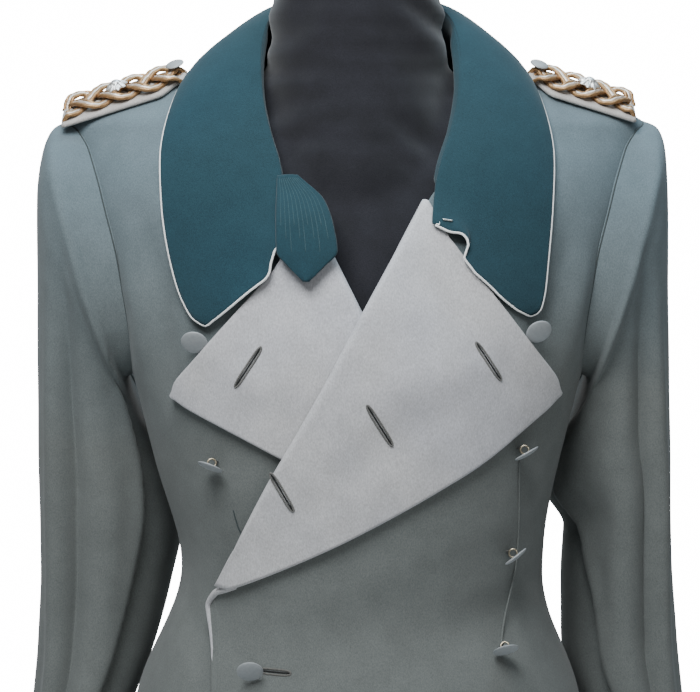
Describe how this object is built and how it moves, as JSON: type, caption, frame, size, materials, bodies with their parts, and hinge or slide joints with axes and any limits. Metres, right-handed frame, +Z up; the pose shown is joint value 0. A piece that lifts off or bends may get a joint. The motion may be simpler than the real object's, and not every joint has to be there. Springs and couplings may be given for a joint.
{
  "type": "officer's greatcoat on a dress form",
  "caption": "Long double-breasted wool greatcoat with open lapels, a wide piped turn-down collar and plaited shoulder boards, worn by a limbless dress form on a round base",
  "frame": {"origin": "on the floor at the centre of the round base", "axes": "+Z up, the coat's front faces -Y, the wearer's left is +X"},
  "size_m": [0.6248, 0.494, 1.566],
  "materials": {
    "wool": "matt milled wool, grey green",
    "facing_cloth": "light grey brushed wool",
    "collar_cloth": "dark blue-green badge cloth",
    "piping": "white twill piping",
    "button": "satin grey paint",
    "board_cloth": "pale grey wool underlay",
    "gold_braid": "metallic thread cord",
    "silver": "rayed bright white metal",
    "form_cloth": "black stretch jersey",
    "form_metal": "black satin paint"
  },
  "bodies": {
    "root": {"front_left": "wool", "front_right": "wool", "back_left": "wool", "back_right": "wool", "sleeve_left_upper": "wool", "sleeve_left_under": "wool", "sleeve_right_upper": "wool", "sleeve_right_under": "wool", "lapel_left": "wool", "lapel_right": "wool", "lapel_left_facing": "facing_cloth", "lapel_right_facing": "facing_cloth", "collar_fall": "collar_cloth", "collar_stand": "collar_cloth", "collar_tab": "collar_cloth", "collar_piping": "piping", "button_left_1": "button", "button_left_2": "button", "button_left_3": "button", "button_left_4": "button", "button_left_5": "button", "button_left_6": "button", "button_right_1": "button", "button_right_2": "button", "button_right_4": "button", "button_right_5": "button", "button_right_6": "button", "board_left_button": "button", "board_right_button": "button", "board_left_base": "board_cloth", "board_right_base": "board_cloth", "board_left_strand_1": "gold_braid", "board_left_strand_2": "gold_braid", "board_left_strand_3": "gold_braid", "board_right_strand_1": "gold_braid", "board_right_strand_2": "gold_braid", "board_right_strand_3": "gold_braid", "board_left_pip": "silver", "board_right_pip": "silver", "form_torso": "form_cloth", "form_pole": "form_metal", "form_base": "form_metal"}
  },
  "joints": []
}
